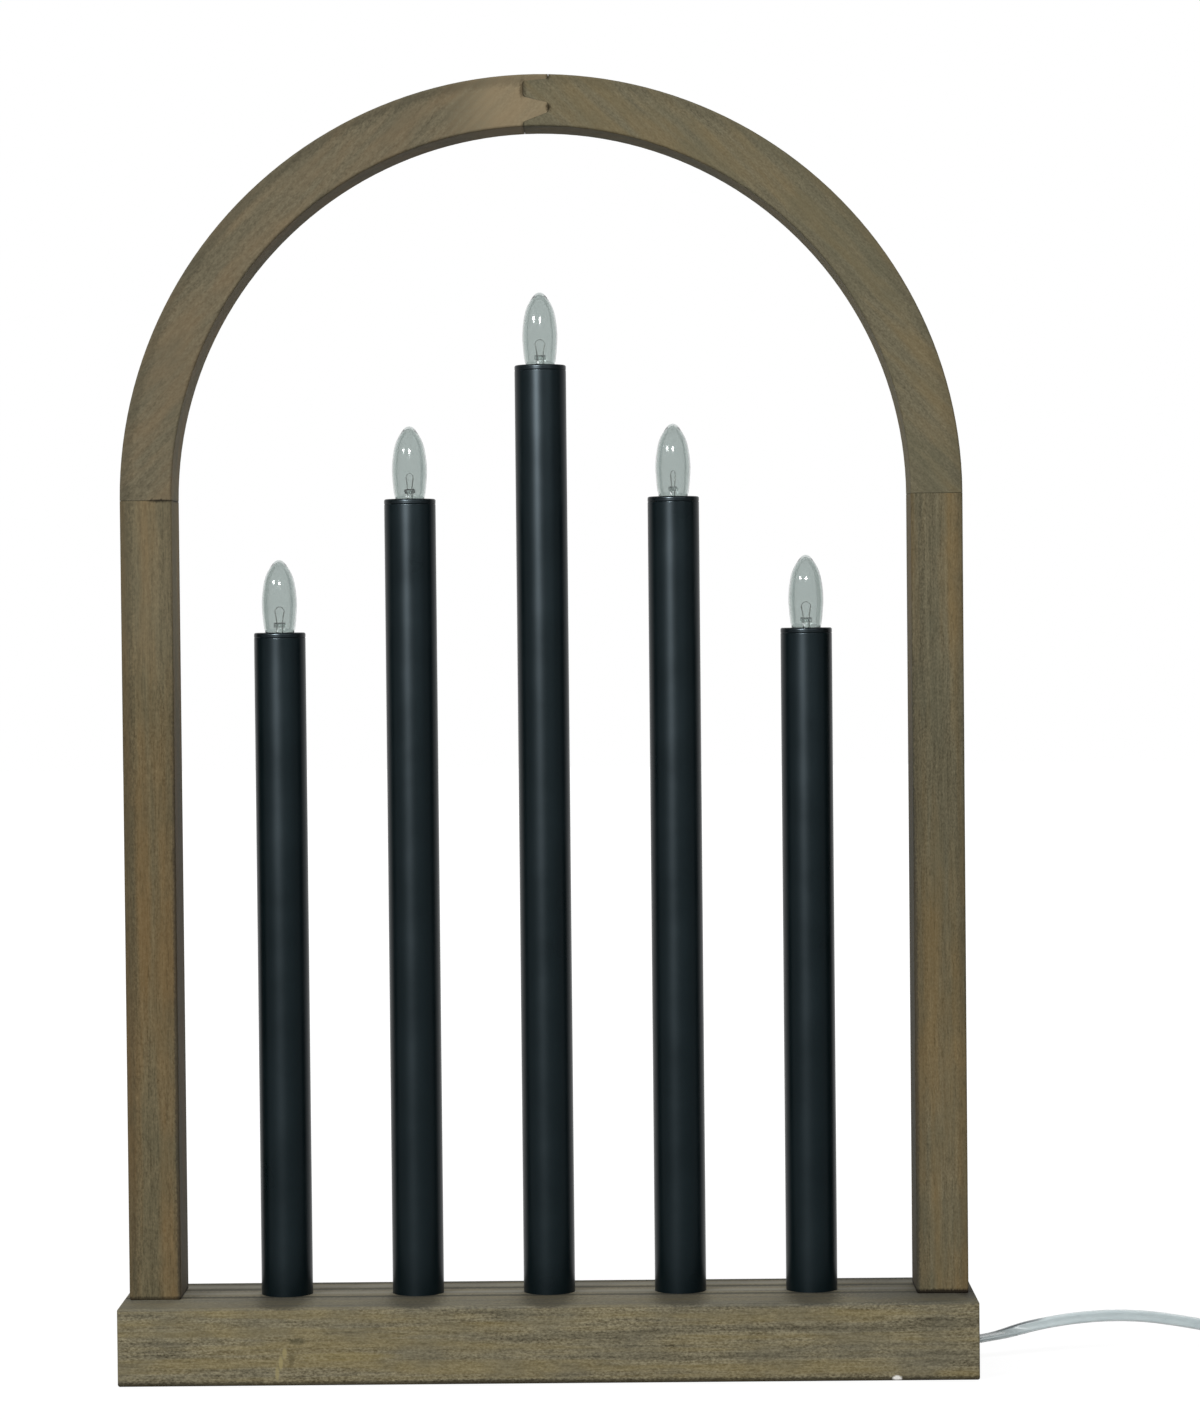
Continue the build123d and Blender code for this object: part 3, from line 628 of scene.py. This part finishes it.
for node, settings in woods.items():
    dress(stained_pine(**settings), node)
print("pine bars", list(woods))

# %% [markdown]
# The tubes are steel with a satin black lacquer. The paint is smooth, with a very fine skin
# like an orange's, and reflects a soft upright streak. The collars on top are moulded from
# black phenolic, a hard plastic with much the same colour and sheen.

# %% Black lacquer and black phenolic
cloud_size, sheen_spread = 25 * MM, 0.03


def satin_black(name, colours, roughness, skin_size, skin_depth, shine):
    """Dark smooth finish with a fine skin."""
    material, tree, shader = finish_named(name)
    where = add(tree, "ShaderNodeTexCoord").outputs["Object"]
    skin = add(tree, "ShaderNodeTexNoise", {"Vector": where, "Scale": 1 / skin_size, "Detail": 2.0})
    cloud = add(tree, "ShaderNodeTexNoise", {"Vector": where, "Scale": 1 / cloud_size, "Detail": 3.0})
    rough = add(tree, "ShaderNodeMapRange",
                {"Value": cloud.outputs["Fac"], "From Min": 0.3, "From Max": 0.7,
                 "To Min": roughness - sheen_spread, "To Max": roughness + sheen_spread})
    tree.links.new(rough.outputs[0], shader.inputs["Roughness"])
    tint = add(tree, "ShaderNodeMix",
               {0: cloud.outputs["Fac"], 6: linear(colours[0]), 7: linear(colours[1])}, data_type="RGBA")
    tree.links.new(tint.outputs[2], shader.inputs["Base Color"])
    relief = add(tree, "ShaderNodeBump",
                 {"Height": skin.outputs["Fac"], "Distance": skin_depth, "Strength": 0.5})
    tree.links.new(relief.outputs[0], shader.inputs["Normal"])
    shader.inputs["IOR"].default_value = 1.5
    shader.inputs["Specular IOR Level"].default_value = shine
    shader.inputs["Specular Tint"].default_value = linear("#dff4ff")
    return material


lacquer = satin_black("satin_black_lacquer", ("#050d0f", "#0a1518"), 0.3, 0.8 * MM, 0.004 * MM, 0.09)
phenolic = satin_black("moulded_black_phenolic", ("#090f11", "#0f1517"), 0.3, 0.5 * MM, 0.005 * MM, 0.09)
dress(lacquer, *[f"candle_tube_{n}" for n in numbers])
dress(phenolic, *[f"lamp_holder_{n}" for n in numbers])
print("black pieces", 2 * len(numbers))

# %% [markdown]
# The bulbs are blown soda-lime glass, clear with a faint green cast, so the shader lets light
# through and bends it. Their colour is also darkened to grey, a painted shade that stands in for
# the darker surroundings seen through real glass. The solid has a real wall, inside and outside,
# so no trick is needed.

# %% Clear bulb glass
ripple_size, ripple_depth = 5 * MM, 0.02 * MM
glass, tree, shader = finish_named("blown_clear_glass")
where = add(tree, "ShaderNodeTexCoord").outputs["Object"]
ripple = add(tree, "ShaderNodeTexNoise", {"Vector": where, "Scale": 1 / ripple_size, "Detail": 1.0})
relief = add(tree, "ShaderNodeBump",
             {"Height": ripple.outputs["Fac"], "Distance": ripple_depth, "Strength": 0.1})
tree.links.new(relief.outputs[0], shader.inputs["Normal"])
# faint green of the glass itself, darkened to grey as painted shade for the darker surroundings
shader.inputs["Base Color"].default_value = linear("#c8cfcd")
shader.inputs["Transmission Weight"].default_value = 1.0
shader.inputs["Roughness"].default_value = 0.08
shader.inputs["IOR"].default_value = 1.5
dress(glass, *[f"bulb_glass_{n}" for n in numbers])
print("glass bulbs", len(numbers))

# %% [markdown]
# Metal parts differ in colour and in how they were made: drawn brass caps and shells with
# faint scratches, grey lead wires, zinc-plated screws and nickel-plated pins. Real scratches
# are a few hundredths of a millimetre wide, too fine to show, so they are drawn coarser.

# %% Metals
tarnish_size, scratch_depth, scratch_stretch = 4 * MM, 0.01 * MM, 12


def metal(name, colours, roughness, scratch):
    """Bare or plated metal with fine scratches and slow tarnish."""
    material, tree, shader = finish_named(name)
    where = add(tree, "ShaderNodeTexCoord").outputs["Object"]
    scale = (1 / scratch, 1 / scratch, 1 / (scratch_stretch * scratch))
    stretched = add(tree, "ShaderNodeMapping", {"Vector": where, "Scale": scale})
    lines = add(tree, "ShaderNodeTexNoise", {"Vector": stretched.outputs[0], "Scale": 1.0, "Detail": 3.0})
    cloud = add(tree, "ShaderNodeTexNoise", {"Vector": where, "Scale": 1 / tarnish_size, "Detail": 2.0})
    colour = add(tree, "ShaderNodeMix",
                 {0: cloud.outputs["Fac"], 6: linear(colours[0]), 7: linear(colours[1])}, data_type="RGBA")
    tree.links.new(colour.outputs[2], shader.inputs["Base Color"])
    rough = add(tree, "ShaderNodeMapRange",
                {"Value": lines.outputs["Fac"], "To Min": roughness - 0.1, "To Max": roughness + 0.1})
    tree.links.new(rough.outputs[0], shader.inputs["Roughness"])
    relief = add(tree, "ShaderNodeBump",
                 {"Height": lines.outputs["Fac"], "Distance": scratch_depth, "Strength": 0.4})
    tree.links.new(relief.outputs[0], shader.inputs["Normal"])
    shader.inputs["Metallic"].default_value = 1.0
    return material


brass = metal("drawn_brass", ("#b8964f", "#d9bc78"), 0.3, 0.2 * MM)
lead_wire = metal("lead_wire_nickel_iron", ("#8d8d89", "#b4b4af"), 0.45, 0.1 * MM)
zinc = metal("zinc_plated_steel", ("#9ea2a4", "#c3c6c7"), 0.36, 0.2 * MM)
nickel = metal("nickel_plated_brass", ("#b9b6ae", "#d8d5cd"), 0.25, 0.2 * MM)
dress(brass, *[f"{kind}_{n}" for kind in ("thread_shell", "centre_contact", "bulb_cap") for n in numbers])
dress(lead_wire, *[f"bulb_filament_{n}" for n in numbers])
dress(zinc, "cover_screws", "clamp_screws")
dress(nickel, "plug_pins")
print("metals", [m.name for m in (brass, lead_wire, zinc, nickel)])

# %% [markdown]
# The plug's pins are bare only at their outer half. Next to the plug each has a moulded black
# sleeve, so the same material turns from metal to plastic at one place along the pin.

# %% Sleeved pins
bare_length = 0.009
sleeve_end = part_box("plug_pins")[1][0] - bare_length
tree = nickel.node_tree
shader = tree.nodes["Principled BSDF"]
where = add(tree, "ShaderNodeTexCoord").outputs["Object"]
along = add(tree, "ShaderNodeSeparateXYZ", {0: where})
bare = add(tree, "ShaderNodeMath", {0: along.outputs["X"], 1: sleeve_end}, operation="GREATER_THAN")
metal_colour = shader.inputs["Base Color"].links[0].from_socket
sleeved = add(tree, "ShaderNodeMix",
              {0: bare.outputs[0], 6: linear("#17181a"), 7: metal_colour}, data_type="RGBA")
tree.links.new(sleeved.outputs[2], shader.inputs["Base Color"])
tree.links.new(bare.outputs[0], shader.inputs["Metallic"])
print("sleeves end at x", round(sleeve_end, 4))

# %% [markdown]
# What is left is plain: beech dowels, a hardboard cover below, black glass around the tip
# contact, coloured wire insulation, a nylon clamp, a moulded plug and a paper-covered tie.
# Each is a base colour with the speckle or fibre of its own material. On moulded plastic that
# is finer than the picture can show, so it is drawn about half a millimetre wide.

# %% Plain moulded and fibrous finishes
plain_shine, rough_spread = 0.5, 0.06


def speckled(name, colours, roughness, grain, depth, clear=0.0):
    """Opaque or milky material; grain is its size along X, Y and Z and depth its relief, in mm."""
    material, tree, shader = finish_named(name)
    where = add(tree, "ShaderNodeTexCoord").outputs["Object"]
    sized = add(tree, "ShaderNodeMapping", {"Vector": where, "Scale": [1 / (g * MM) for g in grain]})
    speck = add(tree, "ShaderNodeTexNoise", {"Vector": sized.outputs[0], "Scale": 1.0, "Detail": 3.0})
    speck = speck.outputs["Fac"]
    spread = add(tree, "ShaderNodeMapRange", {"Value": speck, "From Min": 0.3, "From Max": 0.7})
    colour = add(tree, "ShaderNodeMix",
                 {0: spread.outputs[0], 6: linear(colours[0]), 7: linear(colours[1])}, data_type="RGBA")
    tree.links.new(colour.outputs[2], shader.inputs["Base Color"])
    rough = add(tree, "ShaderNodeMapRange",
                {"Value": speck, "To Min": roughness - rough_spread, "To Max": roughness + rough_spread})
    tree.links.new(rough.outputs[0], shader.inputs["Roughness"])
    relief = add(tree, "ShaderNodeBump",
                 {"Height": speck, "Distance": depth * MM, "Strength": 0.6})
    tree.links.new(relief.outputs[0], shader.inputs["Normal"])
    shader.inputs["Specular IOR Level"].default_value = plain_shine
    shader.inputs["Transmission Weight"].default_value = clear
    return material


# colours, roughness, grain and relief in mm, and the pieces
plain_finishes = {
    "beech_dowel": (("#b58c5f", "#d0ad80"), 0.6, (0.4, 0.4, 6), 0.04, ["leg_dowels", "arch_dowels"]),
    "pressed_hardboard": (("#4a3626", "#6b5138"), 0.7, (1.5, 0.8, 0.8), 0.05, ["base_cover"]),
    "black_vitrite_glass": (("#0b0b0d", "#17171a"), 0.2, (1, 1, 1), 0.01, [f"bulb_tip_{n}" for n in numbers]),
    "blue_pvc_insulation": (("#2c4a77", "#36578a"), 0.45, (0.6, 0.6, 0.6), 0.01, ["core_near", "link_wires"]),
    "brown_pvc_insulation": (("#55382a", "#644536"), 0.45, (0.6, 0.6, 0.6), 0.01, ["core_far"]),
    "moulded_nylon": (("#d3d0c6", "#dedbd2"), 0.5, (0.5, 0.5, 0.5), 0.02, ["cord_clamp"]),
    "moulded_white_plug": (("#d6dad8", "#dfe2e0"), 0.42, (0.6, 0.6, 0.6), 0.03, ["plug_body"]),
    "paper_covered_tie": (("#e6e4dc", "#f0eee8"), 0.75, (0.8, 0.3, 0.8), 0.04, ["cord_tie"]),
}
for name, (colours, roughness, grain, depth, pieces) in plain_finishes.items():
    dress(speckled(name, colours, roughness, grain, depth), *pieces)
print("plain finishes", list(plain_finishes))

# %% [markdown]
# The cord's insulation is clear PVC, which looks milky and pale. The value stored at each
# corner darkens it along the upper edge near the block.

# %% Clear cord
clear_pvc = speckled("clear_pvc_cord", ("#c8d4d6", "#d5e0e1"), 0.3, (6, 2, 2), 0.02, clear=0.25)
tree = clear_pvc.node_tree
shader = tree.nodes["Principled BSDF"]
pale = shader.inputs["Base Color"].links[0].from_socket
shade = add(tree, "ShaderNodeAttribute", attribute_name="edge_shade")
edge = add(tree, "ShaderNodeMix", {0: shade.outputs["Fac"], 6: pale, 7: linear("#39434a")}, data_type="RGBA")
tree.links.new(edge.outputs[2], shader.inputs["Base Color"])
cord_mesh.materials.append(clear_pvc)
print("materials", sorted(m.name for m in bpy.data.materials if m.users))
